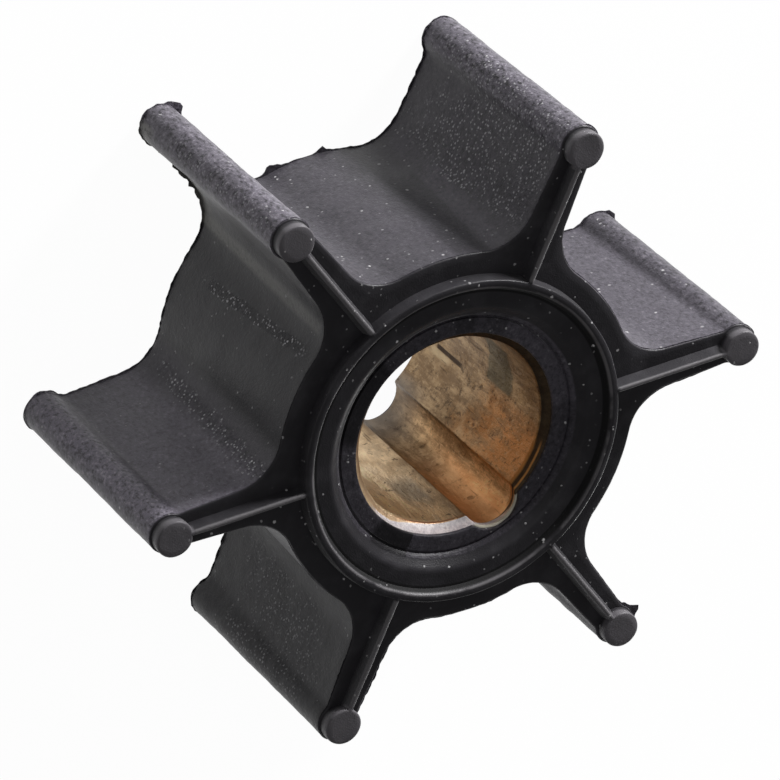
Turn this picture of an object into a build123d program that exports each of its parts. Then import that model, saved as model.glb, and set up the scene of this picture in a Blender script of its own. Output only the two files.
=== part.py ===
from build123d import *
import math
import os

# Water-pump impeller: one moulded rubber body with six bead-tipped vanes, bonded round a bronze sleeve.
# Millimetres. +Z is the shaft axis, +X runs along the first vane, and the origin is on the shaft axis in the
# plane of the back end.

# ---- vanes ----
vane_count = 6
first_vane_angle = 0.0          # degrees from +X to the first vane
tip_circle_radius = 19.1        # shaft axis to the middle of each tip bead
bead_radius = 1.27
vane_root_thickness = 2.28      # at the hub circle, halfway up
vane_tip_thickness = 1.58       # at the tip circle, halfway up
vane_draft = 1.6                # degrees that each flank leans outwards towards the front
vane_root_radius = 3.2          # concave blend between a vane and the hub
bead_neck_radius = 0.9          # concave blend between a vane and its bead

# ---- rubber hub ----
hub_radius = 11.67              # halfway up
hub_draft = 2.0                 # degrees that the hub widens towards the front
body_height = 17.35             # back end to front face, the same for hub and vanes
back_recess_radius = 9.8
back_recess_depth = 1.25
recess_draft = 0.1              # how much the recess closes in towards its floor
end_hole_radius = 6.6           # hole through the rubber over each end of the sleeve

# ---- raised detail on the front face ----
relief_height = 0.8             # collar, ribs and bead plugs all stand this proud
collar_outer_radius = 10.5
collar_width = 0.52             # across its top
collar_draft = 0.1              # how much further out the collar's foot is than its top
plug_radius = 1.16
relief_edge_radius = 0.12       # rounding on the top edges of the collar and the plugs
rib_foot_width = 0.7
rib_top_width = 0.3

# ---- shelf and dish inside the collar ----
collar_lean = 0.22              # how far the collar's inner side leans in towards the shelf
shelf_inner_radius = 8.6
shelf_height = 0.4              # shelf above the front face
dish_radius = 7.82
dish_depth = 0.3                # dish floor below the front face
groove_radius = 7.7
groove_width = 0.18
groove_depth = 0.14

# ---- bronze sleeve ----
bore_radius = 6.1
sleeve_wall = 2.3
skin_thickness = 0.2            # rubber over each end of the sleeve
bore_chamfer = 0.5
back_chamfer = 0.12
keyway_radius = 1.65            # half-round keyway cast along the bore
keyway_centre_radius = 5.8      # shaft axis to the middle of the keyway's arc
keyway_angle = -129.0           # degrees from +X
keyway_clearance = 0.12         # rubber kept clear of the keyway at both ends

# ---- worked out from the sizes above ----
front_face = body_height
collar_inner_radius = collar_outer_radius - collar_width
shelf_outer_radius = collar_inner_radius - collar_lean
shelf_face = front_face + shelf_height
dish_floor = front_face - dish_depth
sleeve_radius = bore_radius + sleeve_wall
sleeve_bottom = back_recess_depth + skin_thickness
sleeve_top = dish_floor - skin_thickness
sleeve_length = sleeve_top - sleeve_bottom
relief_draft = math.degrees(math.atan2((rib_foot_width - rib_top_width) / 2, relief_height))
keyway_x = keyway_centre_radius * math.cos(math.radians(keyway_angle))
keyway_y = keyway_centre_radius * math.sin(math.radians(keyway_angle))


def axis_distance(edge):
    """Distance of the middle of an edge from the shaft axis."""
    middle = edge.position_at(0.5)
    return math.hypot(middle.X, middle.Y)


def runs_full_height(edge):
    """Whether an edge runs from the back end to the front face."""
    return edge.length > 0.95 * body_height


# ---- rubber impeller ----
with BuildPart() as rubber_impeller:
    # hub and six vanes, drafted so that they widen towards the front, with blended roots
    hub_spread = body_height / 2 * math.tan(math.radians(hub_draft))
    vane_spread = body_height / 2 * math.tan(math.radians(vane_draft))
    Cone(hub_radius - hub_spread, hub_radius + hub_spread, body_height, align=(Align.CENTER, Align.CENTER, Align.MIN))
    # each vane is drawn as a wedge whose narrow end is inside the bead and whose wide end is inside the hub
    vane_slope = (vane_root_thickness - vane_tip_thickness) / 2 / (tip_circle_radius - hub_radius)
    vane_start = (hub_radius + back_recess_radius) / 2
    start_half = vane_root_thickness / 2 + vane_slope * (hub_radius - vane_start) - vane_spread
    end_half = vane_tip_thickness / 2 - vane_spread
    with BuildSketch():
        with PolarLocations(0, vane_count, start_angle=first_vane_angle):
            Polygon(
                (vane_start, -start_half),
                (tip_circle_radius, -end_half),
                (tip_circle_radius, end_half),
                (vane_start, start_half),
                align=None,
            )
    extrude(amount=body_height, taper=-vane_draft)
    middle_of_vane = (hub_radius + tip_circle_radius) / 2
    root_edges = rubber_impeller.edges().filter_by(
        lambda e: runs_full_height(e) and vane_start + vane_spread < axis_distance(e) < middle_of_vane
    )
    fillet(root_edges, vane_root_radius)

    # a straight round bead along the tip of each vane, with a blended neck
    with BuildSketch():
        with PolarLocations(tip_circle_radius, vane_count, start_angle=first_vane_angle):
            Circle(bead_radius)
    extrude(amount=body_height)
    neck_edges = rubber_impeller.edges().filter_by(
        lambda e: runs_full_height(e) and middle_of_vane < axis_distance(e) < tip_circle_radius
    )
    fillet(neck_edges, bead_neck_radius)

    # ribs along the middle of each vane, from the collar to the bead plug
    rib_start = (collar_outer_radius + collar_inner_radius) / 2 - rib_top_width / 2
    rib_length = tip_circle_radius - rib_start
    with BuildSketch(Plane.XY.offset(front_face)):
        with PolarLocations(rib_start, vane_count, start_angle=first_vane_angle):
            Rectangle(rib_length, rib_foot_width, align=(Align.MIN, Align.CENTER))
    extrude(amount=relief_height, taper=relief_draft)

    # a round plug on the end of each bead
    with BuildSketch(Plane.XY.offset(front_face)):
        with PolarLocations(tip_circle_radius, vane_count, start_angle=first_vane_angle):
            Circle(plug_radius)
    extrude(amount=relief_height)

    # collar round the hub with the shelf inside it, their foot sunk into the hub
    with BuildSketch(Plane.XZ):
        with BuildLine():
            Polyline(
                (shelf_inner_radius, dish_floor),
                (collar_outer_radius + collar_draft, dish_floor),
                (collar_outer_radius + collar_draft, front_face),
                (collar_outer_radius, front_face + relief_height),
                (collar_inner_radius, front_face + relief_height),
                (shelf_outer_radius, shelf_face),
                (shelf_inner_radius, shelf_face),
                close=True,
            )
        make_face()
    revolve(axis=Axis.Z)
    # rounded top edges on the collar and on the plugs
    top_edges = rubber_impeller.edges().filter_by(GeomType.CIRCLE).group_by(Axis.Z)[-1]
    fillet(top_edges, relief_edge_radius)

    # everything cut into the hub that is turned about the shaft axis: back recess, pocket for the sleeve,
    # hole at each end of it, and the dish on the front
    with BuildSketch(Plane.XZ):
        with BuildLine():
            Polyline(
                (0, 0),
                (back_recess_radius, 0),
                (back_recess_radius - recess_draft, back_recess_depth),
                (end_hole_radius, back_recess_depth),
                (end_hole_radius, sleeve_bottom),
                (sleeve_radius, sleeve_bottom),
                (sleeve_radius, sleeve_top),
                (end_hole_radius, sleeve_top),
                (end_hole_radius, dish_floor),
                (dish_radius, dish_floor),
                (shelf_inner_radius, shelf_face),
                (0, shelf_face),
                close=True,
            )
        make_face()
    revolve(axis=Axis.Z, mode=Mode.SUBTRACT)

    # fine ring groove in the floor of the dish
    with BuildSketch(Plane.XZ):
        with Locations((groove_radius, dish_floor)):
            Rectangle(groove_width, 2 * groove_depth)
    revolve(axis=Axis.Z, mode=Mode.SUBTRACT)

    # notch through the rubber at both ends, so that the keyway is open right along
    with BuildSketch():
        with Locations((keyway_x, keyway_y)):
            Circle(keyway_radius + keyway_clearance)
    extrude(amount=sleeve_bottom, mode=Mode.SUBTRACT)
    with BuildSketch(Plane.XY.offset(sleeve_top)):
        with Locations((keyway_x, keyway_y)):
            Circle(keyway_radius + keyway_clearance)
    extrude(amount=front_face - sleeve_top, mode=Mode.SUBTRACT)

rubber_impeller.part.label = "rubber_impeller"


# ---- bronze sleeve the rubber is bonded to ----
with BuildPart() as bronze_sleeve:
    with BuildSketch(Plane.XY.offset(sleeve_bottom)):
        Circle(sleeve_radius)
        Circle(bore_radius, mode=Mode.SUBTRACT)
    extrude(amount=sleeve_length)
    end_edges = bronze_sleeve.edges().filter_by(GeomType.CIRCLE)
    bore_edges = end_edges.sort_by(SortBy.RADIUS)[:2].sort_by(Axis.Z)
    chamfer(bore_edges[1], bore_chamfer)
    chamfer(bore_edges[0], back_chamfer)

    # half-round keyway along the whole bore
    with BuildSketch(Plane.XY.offset(sleeve_bottom)):
        with Locations((keyway_x, keyway_y)):
            Circle(keyway_radius)
    extrude(amount=sleeve_length, mode=Mode.SUBTRACT)

bronze_sleeve.part.label = "bronze_sleeve"


os.makedirs("parts", exist_ok=True)
export_step(rubber_impeller.part, "parts/rubber_impeller.step")
export_step(bronze_sleeve.part, "parts/bronze_sleeve.step")
print("over the beads", round(2 * (tip_circle_radius + bead_radius), 2), "mm")
print("overall height", round(front_face + relief_height, 2), "mm")
print("sleeve length", round(sleeve_length, 2), "mm")
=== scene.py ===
# %% [markdown]
# # Rubber pump impeller
# A flexible impeller from a small cooling-water pump: one black moulded rubber body with six vanes, bonded round a
# bronze sleeve with a half-round keyway. The lesson rebuilds both pieces as clean meshes round a fixed frame from the
# CAD model, gives them worn finishes, and sets up a plain studio.
#
# The frame comes first, because every piece has to land where the CAD model says. Its box is kept.

# %% Open the frame
import math

import bmesh
import bpy
from mathutils import Matrix, Vector, noise


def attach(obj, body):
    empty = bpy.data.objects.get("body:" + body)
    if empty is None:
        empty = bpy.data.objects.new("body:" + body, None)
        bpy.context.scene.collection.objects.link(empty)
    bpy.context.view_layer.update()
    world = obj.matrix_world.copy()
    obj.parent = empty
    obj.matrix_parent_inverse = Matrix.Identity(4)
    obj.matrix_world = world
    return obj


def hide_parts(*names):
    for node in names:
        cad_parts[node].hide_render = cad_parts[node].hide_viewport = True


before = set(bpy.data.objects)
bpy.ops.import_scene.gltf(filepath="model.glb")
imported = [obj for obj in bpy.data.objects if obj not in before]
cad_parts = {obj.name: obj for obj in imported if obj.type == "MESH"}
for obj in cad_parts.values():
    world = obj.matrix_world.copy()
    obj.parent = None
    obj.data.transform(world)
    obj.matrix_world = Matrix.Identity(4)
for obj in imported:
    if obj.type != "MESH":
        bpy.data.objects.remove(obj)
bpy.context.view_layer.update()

# %% [markdown]
# ## Sizes
# The sizes below are the ones the CAD model was drawn with. Blender works in metres, so one millimetre gets a name
# and every size is written in it. The shaft axis is Z, the first vane runs along X, and the back end lies on Z = 0.

# %% Sizes of the rubber
mm = 0.001
UP = Vector((0, 0, 1))
vane_count = 6
tip_radius = 19.1 * mm            # shaft axis to the middle of a tip bead
bead_radius = 1.27 * mm
half_root, half_tip = 1.14 * mm, 0.79 * mm     # half a vane's thickness at the hub and at the tip, halfway up
root_radius = 3.2 * mm
neck_radius = 0.9 * mm
hub_radius = 11.67 * mm           # halfway up
hub_draft, vane_draft = math.radians(2.0), math.radians(1.6)
front = 17.35 * mm                # the front face
top = 18.15 * mm                  # top of the ribs, plugs and collar
plug_radius = 1.16 * mm
half_rib_foot, half_rib_top = 0.35 * mm, 0.15 * mm
collar_foot, collar_top = 10.6 * mm, 10.5 * mm
half_sector = math.radians(180 / vane_count)
front_round, back_round = 0.10 * mm, 0.04 * mm
quarter = [(0.0, 1.0), (0.29, 0.29), (1.0, 0.0)]     # inset and depth along a rounded edge, as shares of its radius

# %% [markdown]
# ## A chain of edges from spins and runs
# The plan outline of the moulding is made only of arcs and straight runs. The spin operator can draw both: turned
# about an upright line it leaves an arc behind a vertex, and with a step vector and no turn it leaves a straight run.
# Drawing outlines this way keeps every vertex where a blend radius says, and the count of steps sets how fine it is.
# The same operator also raises walls and repeats the finished vane, so it gets a short name of its own.

# %% Sweeps, arcs and runs
def sweep(mesh, geometry, steps, centre=(0, 0, 0), turn=0.0, shift=(0, 0, 0), copies=False):
    """Spins geometry about an upright line and shifts it at every step; returns what the last step made."""
    return bmesh.ops.spin(mesh, geom=geometry, cent=centre, axis=UP, dvec=shift, angle=turn, steps=steps,
                          use_merge=False, use_normal_flip=False, use_duplicate=copies)["geom_last"]


def arc(mesh, start, centre, turn, steps):
    """The chain of vertices that one vertex leaves behind when it is spun about an upright line."""
    known = set(mesh.verts)
    sweep(mesh, [start], steps, centre, turn)
    return [start] + [v for v in mesh.verts if v not in known]


def run(mesh, start, end, steps):
    """The chain that one vertex leaves behind on a straight run."""
    known = set(mesh.verts)
    sweep(mesh, [start], steps, shift=(Vector(end) - start.co) / steps)
    return [start] + [v for v in mesh.verts if v not in known]


# %% [markdown]
# The bridge operator joins two chains into a strip of faces. It asks for edges, so they are looked up between the
# vertices of a chain.

# %% Chains and strips
def chain_edges(chain):
    """The edges along a chain of vertices."""
    return [next(e for e in a.link_edges if b in e.verts) for a, b in zip(chain, chain[1:])]


def strip(mesh, chain, other):
    """Bridges two chains of equal length with faces, and returns the edges that run across the strip."""
    made = bmesh.ops.bridge_loops(mesh, edges=chain_edges(chain) + chain_edges(other))
    side = set(chain)
    return list({e for f in made["faces"] for e in f.edges if (e.verts[0] in side) != (e.verts[1] in side)})


# %% [markdown]
# ## Half of one vane
# A moulded impeller repeats: each twelfth of it, from the middle of a vane to the middle of the pocket beside it, is
# the same shape or its mirror image. Modelling just that slice and mirroring it keeps the mesh small to write and even
# all the way round. Four chains carry it: the outline, the foot of the raised relief, the top of the relief, and the
# middle line of the vane. All run from the tip inwards and have equal counts, so that bridging them gives clean
# four-sided faces.
#
# A mould lets go of a part only if its walls lean a little, which is called draft. Here the hub and the flanks of the
# vanes grow towards the front, while the beads stay straight, so the outline is worked out afresh for each height.
#
# No moulded edge is knife sharp either, and a sharp one catches no light. Each chain can be drawn with an inset, and
# three chains, each further in and higher up, make a rounded edge.

# %% The four chains
bead_steps, neck_steps, flank_steps, root_steps, hub_steps = 14, 4, 16, 18, 12


def outline_chain(mesh, height, inset=0.0):
    """Bead, neck, flank, root blend and hub, from the tip to the middle of the pocket, at one height."""
    rise = height - front / 2
    hub = hub_radius + rise * math.tan(hub_draft) - inset
    bead, neck, blend = bead_radius - inset, neck_radius + inset, root_radius + inset
    tilt = math.atan2(half_root - half_tip, tip_radius - hub_radius)
    ahead, aside = Vector((math.cos(tilt), -math.sin(tilt))), Vector((math.sin(tilt), math.cos(tilt)))
    flank = aside.dot(Vector((tip_radius, half_tip + rise * math.tan(vane_draft)))) - inset
    tip = Vector((tip_radius, 0))
    neck_run = ahead.dot(tip) - math.sqrt((bead + neck) ** 2 - (flank + neck - aside.dot(tip)) ** 2)
    neck_middle = aside * (flank + neck) + ahead * neck_run
    neck_angle = math.atan2(neck_middle.y, neck_middle.x - tip_radius)
    blend_middle = aside * (flank + blend) + ahead * math.sqrt((hub + blend) ** 2 - (flank + blend) ** 2)
    blend_angle = math.atan2(blend_middle.y, blend_middle.x)
    chain = [mesh.verts.new((tip_radius + bead, 0, height))]
    chain += arc(mesh, chain[-1], (*tip, 0), neck_angle, bead_steps)[1:]
    chain += arc(mesh, chain[-1], (*neck_middle, 0), math.pi / 2 - tilt - neck_angle, neck_steps)[1:]
    chain += run(mesh, chain[-1], (*(blend_middle - aside * blend), height), flank_steps)[1:]
    chain += arc(mesh, chain[-1], (*blend_middle, 0), blend_angle + tilt - math.pi / 2, root_steps)[1:]
    chain += arc(mesh, chain[-1], (0, 0, 0), half_sector - blend_angle, hub_steps)[1:]
    return chain


def relief_chain(mesh, height, half_rib, collar_radius, inset=0.0):
    """Plug, rib and collar, from the tip to the middle of the pocket."""
    plug, half_rib, collar = plug_radius - inset, half_rib - inset, collar_radius - inset
    collar_start = math.asin(half_rib / collar)
    chain = [mesh.verts.new((tip_radius + plug, 0, height))]
    chain += arc(mesh, chain[-1], (tip_radius, 0, 0), math.pi - math.asin(half_rib / plug),
                 bead_steps + neck_steps)[1:]
    chain += run(mesh, chain[-1], (collar * math.cos(collar_start), half_rib, height),
                 flank_steps + root_steps // 2)[1:]
    chain += arc(mesh, chain[-1], (0, 0, 0), half_sector - collar_start, root_steps // 2 + hub_steps)[1:]
    return chain


slice_mesh = bmesh.new()
back_edge = [outline_chain(slice_mesh, back_round * depth, back_round * inset) for inset, depth in quarter]
front_edge = [outline_chain(slice_mesh, front - front_round * depth, front_round * inset) for inset, depth in quarter]
print("half-vane outline:", len(back_edge[0]), "vertices; the hub grows by",
      round((front_edge[0][-1].co.xy.length - back_edge[0][-1].co.xy.length) / mm, 2), "mm on its way up")

# %% [markdown]
# ## Side wall and front
# The side wall is the back outline drawn up the shaft axis, with each vertex then slid towards its place in the front
# outline, so that the draft comes in evenly. Seventy short steps are more than a straight wall needs, but they leave
# vertices about a quarter of a millimetre apart, which lets real dents and ripples be pressed into the rubber later.
# The front face is bridged from the outline to the foot of the relief, and the relief wall from there to its top.

# %% Raise the wall
wall_steps = 70
wall_low, wall_high = back_round, front - front_round

known = set(slice_mesh.verts)
sweep(slice_mesh, back_edge[0] + chain_edges(back_edge[0]), wall_steps, shift=UP * (wall_high - wall_low) / wall_steps)
back_places, front_places = [[v.co.xy for v in chain] for chain in (back_edge[0], front_edge[0])]
for vertex in slice_mesh.verts:
    if vertex not in known:
        step = min(range(len(back_places)), key=lambda i: (back_places[i] - vertex.co.xy).length)
        share = (vertex.co.z - wall_low) / (wall_high - wall_low)
        vertex.co.xy = back_places[step].lerp(front_places[step], share)

# %% [markdown]
# The raised relief is bridged the same way: up its wall, round its edge, and across its top to the middle line.

# %% Bridge the relief
relief_foot = relief_chain(slice_mesh, front, half_rib_foot, collar_foot)
relief_edge = [relief_chain(slice_mesh, top - front_round * depth, half_rib_top, collar_top, front_round * inset)
               for inset, depth in quarter]
wide_strips = strip(slice_mesh, front_edge[-1], relief_foot) + strip(slice_mesh, relief_foot, relief_edge[0])
for rounded in (back_edge, front_edge, relief_edge):
    for chain, other in zip(rounded, rounded[1:]):
        strip(slice_mesh, chain, other)

tip_steps = bead_steps + neck_steps + flank_steps + root_steps // 2
relief_top = relief_edge[-1]
ridge = [slice_mesh.verts.new((tip_radius + plug_radius - front_round, 0, top))]
ridge += run(slice_mesh, ridge[-1], (tip_radius - plug_radius + front_round, 0, top), bead_steps + neck_steps)[1:]
ridge += run(slice_mesh, ridge[-1], (collar_top - front_round, 0, top), flank_steps + root_steps // 2)[1:]
wide_strips += strip(slice_mesh, relief_top[:bead_steps + neck_steps + 1], ridge[:bead_steps + neck_steps + 1])
strip(slice_mesh, relief_top[bead_steps + neck_steps:tip_steps + 1], ridge[bead_steps + neck_steps:])
print("wall and front:", len(slice_mesh.faces), "faces")

# %% [markdown]
# ## Everything turned about the shaft
# Inside the collar the moulding is round, so its section is drawn once as a chain in the vane's middle plane and spun
# through the slice: collar, shelf, the slope down to a shallow dish with a fine groove, the lip over the sleeve, the
# pocket that the sleeve is bonded into, and the recess in the back. The first step of the spin is as wide as half a
# rib, and the rest match the collar's own steps, so the two meet vertex to vertex.

# %% Spin the section
# radius and height in millimetres, and the steps that lead to them
section = [(10.40, 18.15, 1), (10.08, 18.15, 2), (10.01, 18.12, 1), (9.98, 18.05, 1), (9.76, 17.75, 2),
           (8.68, 17.75, 7), (8.54, 17.70, 1), (7.80, 17.05, 5), (7.77, 16.91, 1), (7.64, 16.91, 1), (7.61, 17.05, 1),
           (6.70, 17.05, 5), (6.63, 17.02, 1), (6.60, 16.95, 1), (6.60, 16.85, 1), (8.40, 16.85, 2), (8.40, 1.45, 6),
           (6.60, 1.45, 2), (6.60, 1.25, 1), (9.70, 1.25, 8), (9.78, 0.10, 3), (9.81, 0.03, 1), (9.90, 0.0, 1)]
section_chain = [slice_mesh.verts.new((section[0][0] * mm, 0, section[0][1] * mm))]
for radius, height, steps in section[1:]:
    section_chain += run(slice_mesh, section_chain[-1], (radius * mm, 0, height * mm), steps)[1:]
rib_turn = math.asin((half_rib_top - front_round) / (collar_top - front_round))
first_step = sweep(slice_mesh, section_chain + chain_edges(section_chain), 1, turn=rib_turn)
sweep(slice_mesh, first_step, root_steps // 2 + hub_steps, turn=half_sector - rib_turn)
print("section:", len(section_chain), "vertices")

# %% [markdown]
# ## The back face
# The back face lies between the outline and the rim of the recess. Its inner chain follows the vane's middle line
# and then the rim, one vertex for each vertex of the outline.

# %% Bridge the back
recess_rim = 9.9 * mm
join = 0.004 * mm                  # vertices closer than this are the same one
back_inner = [slice_mesh.verts.new((tip_radius + bead_radius - back_round, 0, 0))]
back_inner += run(slice_mesh, back_inner[-1], (recess_rim, 0, 0), tip_steps - 1)[1:]
back_inner += arc(slice_mesh, back_inner[-1], (0, 0, 0), rib_turn, 1)[1:]
back_inner += arc(slice_mesh, back_inner[-1], (0, 0, 0), half_sector - rib_turn, root_steps // 2 + hub_steps)[1:]
wide_strips += strip(slice_mesh, back_edge[-1], back_inner)
bmesh.ops.subdivide_edges(slice_mesh, edges=wide_strips, cuts=2, use_grid_fill=True)
bmesh.ops.remove_doubles(slice_mesh, verts=slice_mesh.verts, dist=join)
print("one slice:", len(slice_mesh.faces), "faces")

# %% [markdown]
# ## Mirror and repeat
# The slice is mirrored across the vane's middle plane and the whole vane is then repeated round the shaft. Both
# operators leave double vertices along the joins, so these are merged and the normals worked out again. A closed
# mesh has no edge with fewer than two faces, which the last line counts.

# %% Mirror, repeat, close
bmesh.ops.mirror(slice_mesh, geom=slice_mesh.verts[:] + slice_mesh.edges[:] + slice_mesh.faces[:],
                 matrix=Matrix.Identity(4), merge_dist=join, axis="Y")
sweep(slice_mesh, slice_mesh.verts[:] + slice_mesh.edges[:] + slice_mesh.faces[:], vane_count - 1,
      turn=2 * math.pi * (vane_count - 1) / vane_count, copies=True)
bmesh.ops.remove_doubles(slice_mesh, verts=slice_mesh.verts, dist=join)
bmesh.ops.recalc_face_normals(slice_mesh, faces=slice_mesh.faces)
open_edges = [e for e in slice_mesh.edges if len(e.link_faces) != 2]
print("whole moulding:", len(slice_mesh.faces), "faces, open edges:", len(open_edges),
      "volume mm3:", round(slice_mesh.calc_volume() / mm ** 3))

# %% [markdown]
# ## Room for the keyway
# The rubber lip over each end of the sleeve is notched, so that the keyway stays open right through. The notch is a
# circle round the keyway, a little wider than it. The vertices of the lip already lie in rings, so it is enough to
# slide them outwards until the inner ring follows the circle, and to share out the rings behind it.

# %% Notch the two lips
bore_radius = 6.1 * mm
keyway_radius = 1.65 * mm
keyway_reach = 5.8 * mm           # shaft axis to the middle of the keyway's arc
keyway_angle = math.radians(-129)
lip_radius = 6.6 * mm
notch_radius = keyway_radius + 0.12 * mm
near = 0.01 * mm                  # closer than this is taken as at the same place


def lip_edge(angle):
    """Radius of the lip's inner edge, which bulges out round the keyway."""
    away = math.remainder(angle - keyway_angle, 2 * math.pi)
    inside = notch_radius ** 2 - (keyway_reach * math.sin(away)) ** 2
    if inside <= 0 or abs(away) > math.pi / 2:
        return lip_radius
    return max(lip_radius, keyway_reach * math.cos(away) + math.sqrt(inside))


# height of each ring of lip vertices, and the radius where its spread ends
lip_rings = {17.05: 7.61, 17.02: 7.61, 16.95: 7.61, 16.85: 8.4, 1.45: 8.4, 1.25: 9.7}
moved = 0
for vertex in slice_mesh.verts:
    flat = vertex.co.xy
    for level, outer in lip_rings.items():
        if abs(vertex.co.z - level * mm) < near and lip_radius - near < flat.length < outer * mm:
            share = (flat.length - lip_radius) / (outer * mm - lip_radius)
            edge = lip_edge(math.atan2(flat.y, flat.x))
            flat = flat.normalized() * (edge + share * (outer * mm - edge))
            moved += (flat - vertex.co.xy).length > near
            vertex.co.xy = flat
print("lip vertices slid out round the keyway:", moved)

# %% [markdown]
# ## Flash, kept for later
# Where the two halves of a mould meet, rubber creeps out between them and tears off ragged when the part is pulled
# free. On this one it hangs round the back edge and, thinner, round the front edge. The ribbons for it start as the
# lowest and highest rows of wall faces, copied now while their normals still point straight out.

# %% Copy the two edge rows
def edge_row(low, high):
    """A mesh of the wall faces between two heights, with normals that point straight out of the wall."""
    row = slice_mesh.copy()
    others = [f for f in row.faces
              if abs(f.normal.z) > 0.2 or not low < f.calc_center_median().z < high
              or f.calc_center_median().xy.length < 11 * mm]
    bmesh.ops.delete(row, geom=others, context="FACES")
    row.normal_update()
    return row


row_height = (wall_high - wall_low) / wall_steps
back_row = edge_row(wall_low, wall_low + row_height)
front_row = edge_row(wall_high - row_height, wall_high)
print("edge rows:", len(back_row.faces), "and", len(front_row.faces), "faces")

# %% [markdown]
# ## Rubber is never flat
# Moulded rubber shrinks unevenly as it cures, so its walls swim a little, and the tool that cut this mould left a
# pebbled skin on the vanes. Smooth noise from mathutils, added along each vertex's own normal, gives both: a slow
# wave a few millimetres long, and small lumps that are strongest on the vanes and beads. The noise depends only on
# the vertex's place, so every run gives the same part.

# %% Press in waves and lumps
def lumps(point, size, shift):
    """Smooth noise from -1 to 1 whose lumps are about size across."""
    return noise.noise(point / size + Vector((shift, 2.7 * shift, -1.3 * shift)))


def in_pocket(point):
    """Whether a point is on the hidden wall that the sleeve is bonded to."""
    return point.xy.length < 8.5 * mm and 1.3 * mm < point.z < 16.93 * mm


slice_mesh.normal_update()
pushes = []
for vertex in slice_mesh.verts:
    point, reach = vertex.co, vertex.co.xy.length
    wall = 1 - abs(vertex.normal.z)
    on_vane = min(max((reach - 12.2 * mm) / (3 * mm), 0), 1)
    push = 0.05 * mm * lumps(point, 5 * mm, 3.1) * wall
    push += 0.022 * mm * lumps(point, 1.5 * mm, 7.7)
    push += (0.006 + 0.014 * on_vane * wall) * mm * lumps(point, 0.55 * mm, 11.9)
    pushes.append(Vector() if in_pocket(point) else vertex.normal * push)
for vertex, push in zip(slice_mesh.verts, pushes):
    vertex.co += push
print("largest push in mm:", round(max(p.length for p in pushes) / mm, 3))

# %% [markdown]
# ## Hand over a finished mesh
# Every piece ends the same way: its bmesh becomes an object at the origin that rides on the body and stands for its
# CAD node. Faces are shaded smooth, except across the few edges that turn by 50 degrees or more. The print says how
# heavy the mesh is.

# %% Make the piece
def finish_piece(mesh, name, material_slot, *stands_for):
    """Turns a bmesh into a piece that rides on the part's one body."""
    data = bpy.data.meshes.new(name)
    triangles = sum(len(f.verts) - 2 for f in mesh.faces)
    for face in mesh.faces:
        face.smooth = True
    for edge in mesh.edges:
        edge.smooth = edge.calc_face_angle(0) < math.radians(50)
    mesh.to_mesh(data)
    mesh.free()
    piece = bpy.data.objects.new(name, data)
    bpy.context.scene.collection.objects.link(piece)
    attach(piece, "root")
    if stands_for:
        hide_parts(*stands_for)
    print(name, "triangles:", triangles)
    return piece


body = finish_piece(slice_mesh, "impeller_body", "black_rubber", "rubber_impeller")

# %% [markdown]
# ## The ragged flash
# Flash is no even ribbon: it tears off here and hangs on there. So its width comes from three sizes of noise, and a
# short list says where the real part keeps more of it.

# %% How wide the flash is
# azimuth in degrees, then distance from the shaft axis, spread and extra width in millimetres
thick_spots = {"back": [(43.1, 11.4, 0.42, 0.55), (40.6, 11.4, 0.3, 0.16), (25.8, 11.4, 0.32, 0.46),
                        (14.0, 11.4, 0.6, 0.06), (2.5, 16.0, 2.8, 0.10), (63.0, 15.5, 3.2, 0.30),
                        (62.8, 17.6, 1.0, 0.30), (55.6, 19.2, 0.50, 0.60), (91.0, 11.5, 0.3, 0.12),
                        (-57.6, 20.2, 0.5, 0.22), (-56.5, 18.0, 0.6, 0.12)],
               "front": [(-116.2, 19.2, 0.60, 0.65), (184.0, 16.0, 2.6, 0.17), (-142.0, 12.0, 1.0, 0.10),
                         (-162.0, 12.0, 1.6, 0.08), (-62.0, 14.5, 2.5, 0.09), (-1.0, 20.3, 0.6, 0.16),
                         (-60.0, 20.3, 0.8, 0.05)]}
tear_sizes = (1.1, 0.42, 0.21)
narrowest, fin_thickness = 0.012 * mm, 0.05 * mm


def fin_width(point, spots, base, whole):
    """How far the flash hangs out of the wall at a point; whole is the share of it that is not torn away."""
    width = base * (whole + (1 - whole) * sum(lumps(point, size * mm, 5.3) for size in tear_sizes))
    for azimuth, reach, spread, extra in spots:
        azimuth = math.radians(azimuth)
        away = (point.xy - Vector((math.cos(azimuth), math.sin(azimuth))) * reach * mm).length
        width += extra * (0.75 + 0.8 * lumps(point, 0.3 * mm, 2.2)) * mm * math.exp(-(away / (spread * mm)) ** 2)
    return max(width, narrowest)


print("thicker spots:", {edge: len(spots) for edge, spots in thick_spots.items()})

# %% [markdown]
# Each edge row is widened outwards twice, along the normals that it stored first, which makes a thin fin two faces
# wide. The row itself then goes, and solidify gives the fin its thickness.

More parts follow.
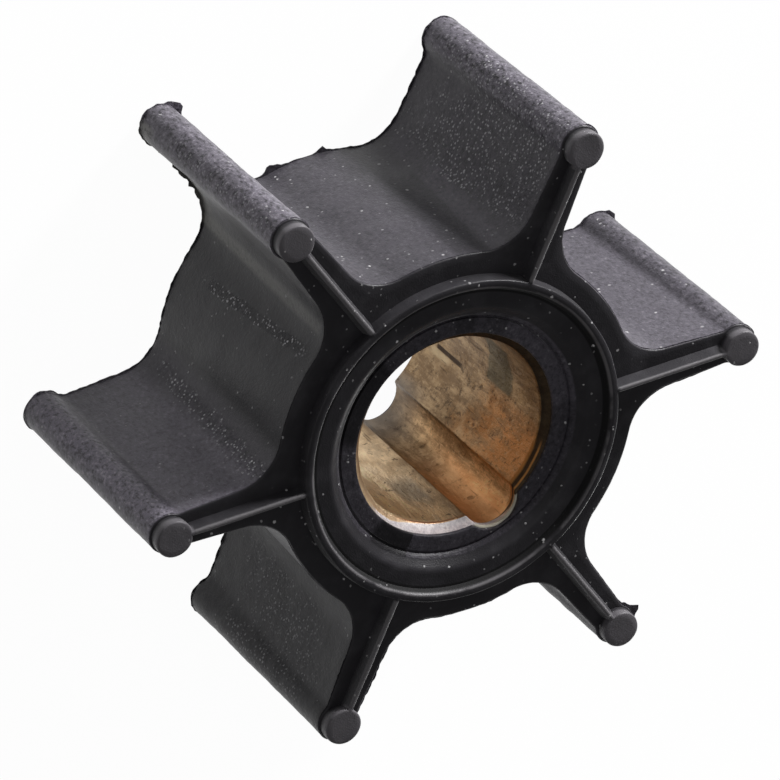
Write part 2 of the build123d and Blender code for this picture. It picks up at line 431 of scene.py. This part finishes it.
# %% Fins round the back and front edges
def make_fin(row, height, spots, base, whole):
    """Draws a fin outwards from the edge of a wall row that lies at a height, and gives it thickness."""
    outward = row.verts.layers.float_vector.new("outward")
    for vertex in row.verts:
        vertex[outward] = vertex.normal
    wall = row.faces[:]
    rim = [e for e in row.edges if all(abs(v.co.z - height) < near for v in e.verts)]
    for _ in range(2):
        grown = bmesh.ops.extrude_edge_only(row, edges=rim)["geom"]
        tips = {g for g in grown if isinstance(g, bmesh.types.BMVert)}
        rim = [g for g in grown if isinstance(g, bmesh.types.BMEdge) and set(g.verts) <= tips]
        for vertex in tips:
            vertex.co += vertex[outward] * fin_width(vertex.co, spots, base, whole) / 2
    bmesh.ops.delete(row, geom=wall, context="FACES")
    bmesh.ops.recalc_face_normals(row, faces=row.faces)
    bmesh.ops.solidify(row, geom=row.faces[:], thickness=fin_thickness)
    bmesh.ops.recalc_face_normals(row, faces=row.faces)
    lowest, highest = min(v.co.z for v in row.verts), max(v.co.z for v in row.verts)
    bmesh.ops.translate(row, verts=row.verts, vec=UP * (-lowest if height < front / 2 else height - highest))
    print("fin at", round(height / mm, 2), "from", round(min(v.co.z for v in row.verts) / mm, 2), "to",
          round(max(v.co.z for v in row.verts) / mm, 2), "mm; open edges",
          len([e for e in row.edges if len(e.link_faces) != 2]))


make_fin(back_row, wall_low, thick_spots["back"], base=0.12 * mm, whole=0.45)
make_fin(front_row, wall_high, thick_spots["front"], base=0.045 * mm, whole=0.75)
loose = bpy.data.meshes.new("front_fin")
front_row.to_mesh(loose)
front_row.free()
back_row.from_mesh(loose)
bpy.data.meshes.remove(loose)
flash = finish_piece(back_row, "parting_flash", "black_rubber")

# %% [markdown]
# ## The bronze sleeve
# The sleeve is a short turned tube with a half-round keyway cast along its bore. Its bore outline is again two arcs:
# one round the shaft, and one round the keyway. Drawn at several radii, the same outline gives the plain bore and
# the wide bright chamfer at the front, with the keyway running straight through both. The outside is split into the
# same two arcs, so that every hoop of the tube has equal counts.

# %% Hoops of the sleeve
sleeve_radius = 8.4 * mm
sleeve_back, sleeve_front = 1.45 * mm, 16.85 * mm
back_chamfer, chamfer = 0.12 * mm, 0.5 * mm
bore_steps, keyway_steps = 176, 36


def polar(radius, angle, height):
    """A point given by its distance from the shaft axis, its angle and its height."""
    return Vector((radius * math.cos(angle), radius * math.sin(angle), height))


def hoop(mesh, radius, height, keyed=True):
    """Five chains that close round the shaft: four quarters of the wide arc, and the short one at the keyway."""
    where = radius if keyed else bore_radius
    half = math.acos((where ** 2 + keyway_reach ** 2 - keyway_radius ** 2) / (2 * where * keyway_reach))
    bulge = math.atan2(radius * math.sin(half), radius * math.cos(half) - keyway_reach)
    wide = ((0, 0, 0), (math.pi - half) / 2, bore_steps // 4)
    groove = (polar(keyway_reach, keyway_angle, 0), 2 * bulge) if keyed else ((0, 0, 0), 2 * half)
    start, chains = mesh.verts.new(polar(radius, keyway_angle + half, height)), []
    for centre, turn, steps in [wide] * 4 + [(*groove, keyway_steps)]:
        chain = arc(mesh, start, centre, turn, steps)
        chains.append(chain_edges(chain))
        start = mesh.verts.new(chain[-1].co)
    mesh.verts.remove(start)
    return chains


print("each hoop:", bore_steps + keyway_steps, "edges")

# %% [markdown]
# The hoops are bridged one to the next, chain by chain, like the rings of a barrel: across the back, up the outside,
# across the front and down over the chamfer. The long bore wall is drawn up in short steps so that it can be scored.

# %% Bridge the sleeve
sleeve_mesh = bmesh.new()
bore_back, bore_front = sleeve_back + back_chamfer, sleeve_front - chamfer
bore_rows = 74
low_hoop, high_hoop = hoop(sleeve_mesh, bore_radius, bore_back), []
for edges in low_hoop:
    raised = sweep(sleeve_mesh, edges + list({v for e in edges for v in e.verts}), bore_rows,
                   shift=UP * (bore_front - bore_back) / bore_rows)
    high_hoop.append([g for g in raised if isinstance(g, bmesh.types.BMEdge)])
hoops = [low_hoop, hoop(sleeve_mesh, bore_radius + back_chamfer, sleeve_back),
         hoop(sleeve_mesh, sleeve_radius, sleeve_back, keyed=False),
         hoop(sleeve_mesh, sleeve_radius, sleeve_front, keyed=False),
         hoop(sleeve_mesh, bore_radius + chamfer, sleeve_front),
         hoop(sleeve_mesh, bore_radius + 0.33 * mm, sleeve_front - 0.17 * mm),
         hoop(sleeve_mesh, bore_radius + 0.17 * mm, sleeve_front - 0.33 * mm), high_hoop]
for one, next_one in zip(hoops, hoops[1:]):
    for edges, next_edges in zip(one, next_one):
        bmesh.ops.bridge_loops(sleeve_mesh, edges=edges + next_edges)
bmesh.ops.remove_doubles(sleeve_mesh, verts=sleeve_mesh.verts, dist=join / 2)
bmesh.ops.recalc_face_normals(sleeve_mesh, faces=sleeve_mesh.faces)
print("sleeve:", len(sleeve_mesh.faces), "faces, open edges",
      len([e for e in sleeve_mesh.edges if len(e.link_faces) != 2]), "volume mm3",
      round(sleeve_mesh.calc_volume() / mm ** 3))

# %% [markdown]
# The edges of the keyway are worn round, and the bore is not polished: the shaft has left fine pits and shallow
# scores that run along it. The scores are noise stretched along the shaft axis.

# %% Wear the sleeve
worn = [e for e in sleeve_mesh.edges
        if e.calc_face_angle(0) > math.radians(20) and all(v.co.xy.length < 8 * mm for v in e.verts)]
bmesh.ops.bevel(sleeve_mesh, geom=worn, offset=0.07 * mm, offset_type="OFFSET", segments=2, profile=0.5,
                affect="EDGES", clamp_overlap=True, material=-1)
bmesh.ops.recalc_face_normals(sleeve_mesh, faces=sleeve_mesh.faces)
sleeve_mesh.normal_update()
scores = []
for vertex in sleeve_mesh.verts:
    point = vertex.co
    long_way = Vector((point.x, point.y, point.z * 0.18))
    depth = 0.018 * lumps(long_way, 0.5 * mm, 4.4) + 0.03 * lumps(point, 2.2 * mm, 9.2)
    depth -= 0.05 * max(lumps(point, 0.7 * mm, 2.2) - 0.45, 0)
    scores.append(vertex.normal * depth * mm if point.xy.length < 7.5 * mm else Vector())
for vertex, score in zip(sleeve_mesh.verts, scores):
    vertex.co += score
print("deepest score in mm:", round(max(s.length for s in scores) / mm, 3))
sleeve = finish_piece(sleeve_mesh, "keyed_sleeve", "bronze", "bronze_sleeve")

# %% [markdown]
# ## Maths on sockets
# A finish is a small sum: so much grain, less a mask, times a colour. Written as nodes it is hard to read, so one
# class wraps a node's output and lets Python's own plus, minus and times add the Math nodes. A bar between two masks
# takes the larger one.

# %% Wires
class Wire:
    """A node's output that can be used in ordinary arithmetic."""

    def __init__(self, nodes, socket):
        self.nodes, self.socket = nodes, socket

    def __add__(self, other):
        return self.nodes.maths("ADD", self, other)

    def __radd__(self, other):
        return self.nodes.maths("ADD", other, self)

    def __sub__(self, other):
        return self.nodes.maths("SUBTRACT", self, other)

    def __rsub__(self, other):
        return self.nodes.maths("SUBTRACT", other, self)

    def __mul__(self, other):
        return self.nodes.maths("MULTIPLY", self, other)

    def __rmul__(self, other):
        return self.nodes.maths("MULTIPLY", other, self)

    def __or__(self, other):
        return self.nodes.maths("MAXIMUM", self, other)


# %% [markdown]
# Every other node comes from one method, which takes the node's type, its settings, and the values or links of its
# sockets. It serves the materials and the sky alike.

# %% Node trees
class Nodes:
    """A node tree under construction."""

    def __init__(self, tree):
        self.tree = tree

    def node(self, kind, settings={}, inputs={}, output=0):
        """Adds a node, sets it up, fills its sockets with values or links, and returns one output."""
        made = self.tree.nodes.new(kind)
        for key, value in settings.items():
            if key == "stops":
                for element, (position, colour) in zip(made.color_ramp.elements, value):
                    element.position, element.color = position, (*colour, 1)
            else:
                setattr(made, key, value)
        for key, value in inputs.items():
            if isinstance(value, Wire):
                self.tree.links.new(value.socket, made.inputs[key])
            else:
                made.inputs[key].default_value = value
        return Wire(self, made.outputs[output])

    def maths(self, operation, *values):
        """Adds a Math node."""
        return self.node("ShaderNodeMath", {"operation": operation}, dict(enumerate(values)))

    def vector(self, operation, first, second):
        """Adds a Vector Math node, which takes a second vector, or a number to scale by."""
        return self.node("ShaderNodeVectorMath", {"operation": operation},
                         {0: first, "Scale" if operation == "SCALE" else 1: second})


# %% [markdown]
# ## A finish knows where it is
# Wear and dirt lie at particular places, so a finish carries the object coordinates in millimetres, with the reach
# from the shaft axis and the turn round it in degrees. Masks are built from smooth fades between two such numbers,
# and colours are laid over one another by their masks, like coats of paint.

# %% Finishes
class Finish(Nodes):
    """A material under construction, with places in millimetres to paint by."""

    def __init__(self, name, **uniform):
        self.material = bpy.data.materials.new(name)
        self.material.use_nodes = True
        super().__init__(self.material.node_tree)
        self.shader = self.tree.nodes["Principled BSDF"]
        for socket, value in uniform.items():
            self.shader.inputs[socket.replace("_", " ")].default_value = value
        self.place = self.vector("SCALE", self.node("ShaderNodeTexCoord", output="Object"), 1 / mm)
        parts = self.node("ShaderNodeSeparateXYZ", {}, {0: self.place}).socket.node.outputs
        self.x, self.y, self.z = [Wire(self, part) for part in parts]
        self.reach = self.maths("SQRT", self.x * self.x + self.y * self.y)
        self.turn = self.maths("ARCTAN2", self.y, self.x) * math.degrees(1)

    def fade(self, value, start, end):
        """0 below start, 1 above end, and smooth between."""
        return self.node("ShaderNodeMapRange", {"interpolation_type": "SMOOTHSTEP"},
                         {"Value": value, "From Min": start, "From Max": end})

    def between(self, value, low, high, soft):
        """1 where a value lies between two others."""
        return self.fade(value, low - soft, low + soft) * (1 - self.fade(value, high - soft, high + soft))

    def toward(self, azimuth, start, end):
        """Fades from 0 at start degrees away from an azimuth to 1 at end degrees away."""
        facing = self.x * math.cos(math.radians(azimuth)) + self.y * math.sin(math.radians(azimuth))
        return self.fade(self.maths("DIVIDE", facing, self.reach), math.cos(math.radians(start)),
                         math.cos(math.radians(end)))

    def stretched(self, x, y, z):
        """The place with each axis scaled, so that a pattern draws out along one of them."""
        return self.vector("MULTIPLY", self.place, (x, y, z))

    def cloud(self, size, detail=2.0, rough=0.5, place=None, shift=0.0):
        """Noise from 0 to 1 whose blotches are about size millimetres across."""
        moved = self.vector("ADD", place or self.place, (shift,) * 3)
        return self.node("ShaderNodeTexNoise", {}, {"Vector": moved, "Scale": 1 / size, "Detail": detail,
                                                    "Roughness": rough})

    def specks(self, spacing, radius, share, place=None):
        """Small round specks, some paler than others, on a random share of the cells of a Voronoi pattern."""
        distance = self.node("ShaderNodeTexVoronoi", {}, {"Vector": place or self.place, "Scale": 1 / spacing})
        draw = self.node("ShaderNodeSeparateColor", {}, {0: Wire(self, distance.socket.node.outputs["Color"])})
        return (1 - self.fade(distance, 0.5 * radius / spacing, radius / spacing)) * (
            self.maths("LESS_THAN", draw, share)) * (0.35 + 0.65 / share * draw)

    def mix(self, share, first, second):
        """A blend of two colours."""
        first, second = [c if isinstance(c, Wire) else (*c, 1) for c in (first, second)]
        return self.node("ShaderNodeMix", {"data_type": "RGBA"}, {0: share, 6: first, 7: second}, 2)

    def layered(self, colour, *coats):
        """Lays coats over a colour in turn, each a mask and a colour."""
        for share, coat in coats:
            colour = self.mix(share, colour, coat)
        return colour

    def set(self, socket, wire):
        """Leads a wire to the shader."""
        self.tree.links.new(wire.socket, self.shader.inputs[socket])

    def relief(self, height):
        """Presses a height in millimetres into the shader's normal."""
        self.set("Normal", self.node("ShaderNodeBump", {}, {"Strength": 1.0, "Distance": mm, "Height": height}))


# %% [markdown]
# ## Black rubber
# The rubber is a dull black with a fine wrinkled skin, and no two of its faces look alike: some flanks are painted in
# shade, some in light, and patches of them are pebbled, with painted glints. The turn round the shaft says which vane
# or pocket a point is on, and folded into one sector it gives the run along the nearest vane. A slow noise frays every
# border.

# %% Rubber: where a point is
rubber = Finish("dull_black_rubber", Specular_IOR_Level=0.2, Sheen_Weight=0.38, Sheen_Roughness=0.3)
turn, reach, z = rubber.turn, rubber.reach, rubber.z
folded = rubber.maths("WRAP", turn, 30.0, -30.0) * math.radians(1)
along = reach * rubber.maths("COSINE", folded)
wall = 1 - rubber.fade(z, 17.22, 17.32)
on_hub = 1 - rubber.fade(reach, 12.6, 13.4)
on_vane = rubber.fade(reach, 12.4, 13.6)
bead = rubber.fade(reach, 18.2, 18.9)
blotch = rubber.cloud(2.6, 3.0, 0.6, shift=1.0)
fray = blotch - 0.5
print("nodes so far:", len(rubber.tree.nodes))

# %% [markdown]
# The tone is one number that the rubber's own black is multiplied by, and most of it is painted light and shade.
# Painted shade darkens the first vane's flank, the side of the hub between the second and the third vane, and
# everything beyond the third pocket, and a painted shadow of the first vane falls across the hub beside it. Painted
# light brightens the third vane's flank and the last vane's flank, a painted reflection brightens the beads, and a
# painted sheen runs along the first vane's root. A slow noise varies it at random.

# %% Rubber: tones of the flanks
rubber_black = (0.045, 0.041, 0.050)
# painted light and shade by sector, with a painted shadow of the first vane and a painted reflection on the beads
painted_light_shade_tone = 1.10 - 0.14 * rubber.between(turn, -2.0, 9.0, 1.0) * on_vane
painted_light_shade_tone = painted_light_shade_tone - 0.34 * rubber.between(turn - 0.48 * z, 6.5, 17.0, 1.0) * on_hub
painted_light_shade_tone = painted_light_shade_tone - 0.80 * rubber.between(turn, 64.0, 107.0, 3.0) * (1 - rubber.fade(reach, 15.0, 16.5))
painted_light_shade_tone = painted_light_shade_tone + 1.80 * rubber.between(turn, 107.0, 118.0, 1.5) * on_vane
painted_light_shade_tone = painted_light_shade_tone - 0.84 * rubber.fade(turn, 155.0, 160.0) + 0.65 * rubber.between(turn, -62.0, -3.0, 1.0)
painted_light_shade_tone = painted_light_shade_tone + 1.50 * bead * rubber.between(turn, -10.0, 130.0, 5.0)
# painted sheen along the first vane's root
painted_fillet_sheen = rubber.between(turn - 0.45 * z, 2.2, 6.3, 0.7) * rubber.between(z, 6.0, 17.1, 0.7) * (
    1 - rubber.fade(reach, 12.9, 13.4))
painted_light_shade_tone = (painted_light_shade_tone + 0.45 * painted_fillet_sheen) * (1 + 0.35 * fray)
print("nodes so far:", len(rubber.tree.nodes))

# %% [markdown]
# On the second vane a painted sheen, a pale streak that stands in for grazing reflection, follows its root from back
# to front, another its neck, and another its back edge. The raised ribs and the plugs are dusty, the collar's crest
# carries a painted highlight, and the collar's inner side is painted in shade, the darkest place of all.

# %% Rubber: painted sheen and the front
# painted sheen: pale streaks on the second vane in place of grazing reflection
root_sheen_streak = rubber.between(turn - 0.11 * z + fray, 66.0, 69.0, 0.9) * (1.25 - 0.04 * z) * (
    1 - rubber.fade(z + 2.0 * fray, 16.0, 17.0))
neck_sheen_streak = rubber.between(turn, 61.8, 64.6, 0.6) * rubber.between(along + 0.3 * fray, 17.0, 18.25, 0.25)
back_sheen_streak = rubber.between(turn, 61.8, 67.6, 0.5) * (1 - rubber.fade(z + 2.0 * fray, 0.9, 2.0)) * (
    rubber.fade(along, 11.8, 12.6))
painted_streak_sheen = (root_sheen_streak * 0.8 | back_sheen_streak * 0.9 | neck_sheen_streak * 0.7) * (0.8 + 0.6 * fray)
raised = rubber.fade(z, 17.95, 18.1)
ribs = raised * rubber.between(reach, 10.6, 17.8, 0.1)
plugs = rubber.fade(z, 17.5, 17.8) * rubber.fade(reach, 17.7, 17.9)
# painted shade on the collar's inner side
collar_inner_shade = rubber.between(reach, 9.60, 9.93, 0.05) * rubber.between(z, 17.6, 18.06, 0.04)
# painted highlight along the collar's crest
painted_crest_highlight = rubber.between(reach, 9.93, 10.10, 0.05) * raised * rubber.fade(blotch, 0.35, 0.55)
front_shade = rubber.layered(
    rubber.mix(rubber.fade(blotch, 0.45, 0.75), (0.025, 0.0235, 0.027), (0.042, 0.040, 0.045)),
    (ribs * 0.8, (0.15, 0.143, 0.150)),
    (plugs * (0.6 + 0.4 * blotch), (0.135, 0.127, 0.138)),
    (collar_inner_shade * 0.8, (0.004, 0.004, 0.004)),
    (painted_crest_highlight * 0.7, (0.17, 0.162, 0.17)))
shade = rubber.layered(
    front_shade,
    (wall, rubber.vector("SCALE", rubber_black, painted_light_shade_tone)),
    (painted_streak_sheen * wall, (0.215, 0.210, 0.195)))
print("nodes so far:", len(rubber.tree.nodes))

# %% [markdown]
# The pebbled patches are listed one by one, each as a stretch of turn and of height with frayed edges. The skin is
# wrinkled everywhere and more so in the patches. A glint is a painted highlight, a small pale speck on a patch, while
# grit and dust lie anywhere. The wrinkles also bend the specks' own pattern, so that few of them are round.

# %% Rubber: pebbles, grit and dust
def patch(low_turn, high_turn, low, high, strength=1.0):
    """A frayed patch between two turns and two heights."""
    return rubber.between(turn + 2.0 * fray, low_turn, high_turn, 0.8) * (
        rubber.between(z + 6.0 * fray, low, high, 1.2)) * strength


slanted = rubber.between(turn + 0.35 * z + 2.0 * fray, 81.2, 84.6, 0.6) * rubber.between(z, 3.5, 15.6, 1.0)
pebbled = patch(2.2, 6.2, 5.5, 16.6, 0.6) | patch(2.9, 4.6, 1.5, 7.0, 0.5) | slanted
pebbled = pebbled | patch(110.5, 113.8, 2.5, 17.2) | patch(60.2, 62.6, 4.0, 17.0, 0.5)
pebbled = pebbled | patch(175.6, 177.2, 4.0, 14.0, 0.5)
wrinkle = rubber.cloud(0.26, 3.0, 0.7, place=rubber.stretched(1.0, 1.0, 0.75), shift=5.0)
crooked = rubber.vector("ADD", rubber.place, 0.22 * wrinkle)
# painted glints: pale specks in place of highlights on the pebbles
painted_glint = rubber.specks(0.24, 0.095, 0.70, crooked) * pebbled * wall
scatter = rubber.fade(rubber.cloud(2.2, 2.0, 0.7, shift=8.0), 0.48, 0.62)
grit = rubber.specks(0.36, 0.095, 0.20, crooked) * scatter | rubber.specks(0.75, 0.11, 0.16, crooked)
dusty_flank = rubber.between(turn, -58.0, -40.0, 2.0) * wall * rubber.fade(scatter, 0.2, 0.6)
dust = rubber.specks(1.25, 0.13, 0.12, crooked) | rubber.specks(0.7, 0.13, 0.40, crooked) * dusty_flank
print("nodes so far:", len(rubber.tree.nodes))

# %% [markdown]
# The colour goes on in coats: dark wrinkles, pale wrinkles, then the specks of painted glints, grit and dust. The
# gloss is nearly even; the relief makes the skin catch some light, and the rest of its light and shade is painted into
# the colour.

# %% Rubber: colour, gloss and relief
rubber.set("Base Color", rubber.layered(
    shade,
    (rubber.fade(wrinkle, 0.50, 0.36) * (0.45 + 0.25 * pebbled + 0.35 * bead) * wall, (0.009, 0.008, 0.010)),
    (rubber.fade(wrinkle, 0.54, 0.70) * (0.30 + 0.30 * pebbled + 0.25 * bead) * wall,
     rubber.vector("SCALE", (0.14, 0.130, 0.148), painted_light_shade_tone)),
    (painted_glint * 0.95, (0.80, 0.79, 0.82)),
    (grit * 0.9, (0.60, 0.59, 0.60)),
    (dust * 0.9, (0.75, 0.74, 0.75))))
rubber.set("Roughness", 0.36 + 0.12 * blotch + 0.10 * pebbled + 0.25 * (grit | dust) + 0.3 * collar_inner_shade)
rubber.relief(0.030 * wrinkle * (0.35 + 0.65 * wall) + 0.05 * wrinkle * pebbled + 0.012 * rubber.cloud(0.09, 1.0)
              + 0.03 * (painted_glint | grit))
for piece in (body, flash):
    piece.data.materials.append(rubber.material)
print("rubber nodes:", len(rubber.tree.nodes))

# %% [markdown]
# ## Tarnished bronze
# The bore is bronze that has browned: gold where the shaft rubs and brown in blotches drawn out along the bore. Near
# the front one side is rusty orange. The front of the keyway is orange with painted light on it, and one side of the
# keyway and the side of the bore to the left of the keyway are painted paler and brighter, as painted light.

# %% Bronze: browned metal
bronze = Finish("tarnished_bronze")
turn, reach, z = bronze.turn, bronze.reach, bronze.z
along_bore = bronze.stretched(1.0, 1.0, 0.3)
streak = bronze.cloud(0.7, 5.0, 0.7, place=along_bore, shift=2.0)
blotch = bronze.cloud(2.4, 3.0, 0.6, shift=5.0)
speckle = bronze.cloud(0.30, 4.0, 0.75, shift=13.0)
in_groove = bronze.fade(reach, 6.2, 6.5)
full_turn = bronze.maths("WRAP", turn, 360.0, 0.0)
left = bronze.fade(full_turn, 85.0, 115.0) * (1 - bronze.fade(full_turn, 195.0, 223.0))
# painted light: the side of the bore left of the keyway is painted paler and brighter
painted_light_left_bore = left * (1 - in_groove)
rusty = bronze.toward(-99, 28, 6) * bronze.fade(z + 7.0 * (blotch - 0.5) + 5.0 * (streak - 0.5), 7.5, 14.0) * (
    1 - in_groove)
# painted light towards the front of the keyway, with an orange tint
painted_light_groove_front = in_groove * (1 - bronze.fade(turn, -126.0, -118.0)) * bronze.fade(z, 5.0, 13.0)
# painted light on one side of the keyway
painted_light_groove_side = in_groove * bronze.fade(turn, -130.0, -119.0)
metal = bronze.layered(
    bronze.mix(bronze.fade(streak, 0.36, 0.64), (0.24, 0.150, 0.076), (0.50, 0.345, 0.190)),
    (bronze.fade(blotch, 0.48, 0.62) * 0.6, (0.25, 0.150, 0.070)),
    (rusty * (0.45 + 0.45 * bronze.fade(streak, 0.40, 0.55)), (0.58, 0.27, 0.09)),
    (bronze.fade(speckle, 0.55, 0.66) * 0.65, (0.12, 0.070, 0.035)),
    (bronze.fade(speckle, 0.44, 0.34) * 0.45, (0.62, 0.45, 0.26)),
    (painted_light_groove_front * 0.7, (0.66, 0.35, 0.15)),
    (painted_light_left_bore * 0.45, (0.74, 0.60, 0.40)))
# brighter by place: painted light on the left of the bore and in the keyway, and brighter rust
metal = bronze.vector("SCALE", metal, 0.90 + 0.95 * painted_light_left_bore + 0.6 * painted_light_groove_front + 1.1 * painted_light_groove_side + 0.35 * rusty)
print("nodes so far:", len(bronze.tree.nodes))

# %% [markdown]
# Over that lie single marks: a grey-green patch with sharp edges behind the orange one, the dull grey back of the
# keyway, a smudge on the pale side, and a dark seam with a pale band beside it. Stains, hair-fine scratches and dark
# spots are scattered over the bore.

# %% Bronze: patches, seam and stains
grey = bronze.toward(-59, 16, 14) * bronze.between(z + 1.6 * (blotch - 0.5), 9.8, 12.9, 0.15)
dull = (1 - bronze.fade(z, 2.0, 6.0)) * bronze.toward(-126, 24, 14)
smudge = bronze.toward(-160, 11, 5) * bronze.between(z + 3.0 * (streak - 0.5), 10.5, 13.5, 1.2)
seam = bronze.toward(-79.8, 1.7, 0.9) * bronze.between(z + 2.0 * (speckle - 0.5), 3.7, 6.9, 0.35)
beside_seam = bronze.toward(-83.5, 3.0, 0.8) * bronze.between(z, 3.2, 5.2, 0.5)
stain = bronze.fade(bronze.cloud(0.8, 4.0, 0.75, shift=11.0), 0.60, 0.66)
scratch = bronze.fade(bronze.cloud(0.14, 1.0, 0.5, place=bronze.stretched(1.0, 1.0, 0.06), shift=3.0), 0.68, 0.74)
spot = bronze.specks(0.50, 0.11, 0.30) * bronze.fade(blotch, 0.42, 0.52)
dark = stain * 0.55 | scratch * 0.45 | spot * 0.6 | seam
mouth = bronze.fade(z, 16.36, 16.42)
metal = bronze.layered(
    metal,
    (grey * 0.75, (0.105, 0.092, 0.052)),
    (dull * 0.75, (0.20, 0.175, 0.15)),
    (smudge * 0.55, (0.14, 0.145, 0.14)),
    (beside_seam * 0.6, (0.66, 0.52, 0.32)),
    (dark * (1 - mouth) * (1 - 0.5 * in_groove), (0.075, 0.046, 0.028)))
print("nodes so far:", len(bronze.tree.nodes))

# %% [markdown]
# The chamfer was cut last. On the side away from the rust it is fresh metal painted near white as a painted
# reflection, starting as a thin line and widening; on the other side it is painted black as shade. A thin line of rust
# runs along its lower edge, the left side of the mouth is painted pale as painted light, and the front rim of the
# keyway is pale.

# %% Bronze: chamfer and rims
cut = 16.36 + 0.28 * (1 - bronze.toward(-156, 42, 16))
bright = bronze.fade(z - cut, 0.0, 0.05) * bronze.toward(192, 48, 34)
# painted shade: the chamfer's dark side
painted_shade_chamfer = mouth * (1 - bright) * (1 - left)
rust_line = (bronze.between(z, 16.22, 16.44, 0.05) | bronze.between(z, 16.62, 16.70, 0.03)) * (1 - bright) * (
    bronze.toward(-104, 22, 12))
key_rim = bronze.fade(z, 16.62, 16.72) * bronze.fade(reach, 6.65, 6.75)
# painted reflection: near white on the chamfer's bright side, over fresh metal
bare_metal_reflection = bronze.mix(bronze.fade(speckle, 0.40, 0.60), (0.68, 0.65, 0.69), (0.86, 0.83, 0.85))
bronze.set("Base Color", bronze.layered(
    metal,
    (painted_shade_chamfer * 0.92, (0.028, 0.020, 0.014)),
    (rust_line * 0.9, (0.60, 0.27, 0.08)),
    (bronze.between(z, cut - 0.2, cut, 0.05) * left * 0.8, (0.52, 0.20, 0.09)),
    # painted light: the left side of the mouth painted pale
    (mouth * left * (1 - bright) * 0.6, (0.80, 0.64, 0.42)),
    (bright * 0.9, bare_metal_reflection),
    (key_rim * 0.9, (0.72, 0.69, 0.58))))
bronze.set("Metallic", 0.85 - 0.08 * left)
bronze.set("Roughness", 0.42 + 0.15 * bronze.fade(blotch, 0.4, 0.7) + 0.15 * (dark | rusty) + 0.18 * bright
           + 0.14 * in_groove)
bronze.relief(0.05 * bronze.cloud(0.35, 3.0, 0.6, place=along_bore, shift=6.0) + 0.03 * speckle
              + 0.06 * speckle * rusty - 0.02 * dark)
sleeve.data.materials.append(bronze.material)
print("bronze nodes:", len(bronze.tree.nodes))

# %% [markdown]
# ## A plain studio
# The floor is white to the camera and in reflections, and an honest white surface to light, mixed so that the part
# still leaves a faint shadow.

# %% Floor
floor_mesh = bmesh.new()
bmesh.ops.create_grid(floor_mesh, x_segments=1, y_segments=1, size=1.5)
bmesh.ops.translate(floor_mesh, verts=floor_mesh.verts, vec=(0, 0, -0.02 * mm))
floor_data = bpy.data.meshes.new("studio_floor")
floor_mesh.to_mesh(floor_data)
floor_mesh.free()
floor = bpy.data.objects.new("studio_floor", floor_data)
bpy.context.scene.collection.objects.link(floor)
paper = Finish("white_paper", Base_Color=(0.9, 0.9, 0.9, 1), Roughness=0.9, Specular_IOR_Level=0.0)
camera_ray, glossy_ray, clear_ray = [paper.node("ShaderNodeLightPath", output=o)
                                     for o in ("Is Camera Ray", "Is Glossy Ray", "Is Transmission Ray")]
shining = paper.node("ShaderNodeEmission", {}, {"Color": (1, 1, 1, 1), "Strength": 1.04})
lit = Wire(paper, paper.shader.outputs[0])
mixed = paper.node("ShaderNodeMixShader", {}, {0: (camera_ray | glossy_ray | clear_ray) * 0.93, 1: lit, 2: shining})
paper.tree.links.new(mixed.socket, paper.tree.nodes["Material Output"].inputs["Surface"])
floor_data.materials.append(paper.material)
print("floor at", round(min(v.co.z for v in floor_data.vertices) / mm, 2), "mm")

# %% [markdown]
# The sky is a plain pale grey that darkens overhead, as a studio ceiling does. It comes from the upward part of the
# direction, through a ramp with two stops.

# %% Sky
world = bpy.data.worlds.new("studio_sky")
bpy.context.scene.world = world
world.use_nodes = True
sky = Nodes(world.node_tree)
upward = sky.node("ShaderNodeSeparateXYZ", {}, {0: sky.node("ShaderNodeTexCoord", output="Generated")}, "Z")
ceiling = sky.node("ShaderNodeValToRGB", {"stops": [(0.05, (1, 1, 1)), (0.55, (0.45, 0.45, 0.45))]}, {"Fac": upward})
background = sky.tree.nodes["Background"]
sky.tree.links.new(ceiling.socket, background.inputs["Color"])
background.inputs["Strength"].default_value = 0.30
print("sky nodes:", len(sky.tree.nodes))

# %% [markdown]
# ## Lamps and camera
# Each lamp is placed by its azimuth, height angle and distance, and turned to face the part. The key lamp is low, at
# the side of the first vane, and a weaker one fills from above. The camera is a long lens a little way off, rolled so
# that the part seems to lean.

# %% Lamps
def lamp(name, azimuth, elevation, distance, size, power):
    """A square soft lamp that faces the part."""
    light = bpy.data.lights.new(name, "AREA")
    light.size, light.energy = size, power
    holder = bpy.data.objects.new(name, light)
    bpy.context.scene.collection.objects.link(holder)
    azimuth, elevation = math.radians(azimuth), math.radians(elevation)
    way = Vector((math.cos(azimuth) * math.cos(elevation), math.sin(azimuth) * math.cos(elevation),
                  math.sin(elevation)))
    holder.location = way * distance + UP * 9 * mm
    holder.rotation_euler = way.to_track_quat("Z", "Y").to_euler()


lamp("key_lamp", -20, 5, 0.45, 0.08, 3.9)
lamp("top_lamp", 60, 70, 0.50, 0.40, 0.22)
print("lamps:", len(bpy.data.lights))

# %% Camera
bpy.context.scene.view_settings.view_transform = "Standard"
view = bpy.data.cameras.new("camera")
view.sensor_width, view.lens = 36, 311.96
view.clip_start, view.clip_end = 0.01, 10
camera = bpy.data.objects.new("camera", view)
bpy.context.scene.collection.objects.link(camera)
axes = Matrix(((0.3740, -0.8031, 0.4638), (0.8935, 0.1780, -0.4122), (0.2485, 0.5686, 0.7842)))  # right, up, back
camera.matrix_world = Matrix.Translation(Vector((100.4925, 231.392, 328.325)) * mm) @ axes.transposed().to_4x4()
bpy.context.scene.camera = camera
print("camera at", round(camera.matrix_world.translation.length, 3), "m away")
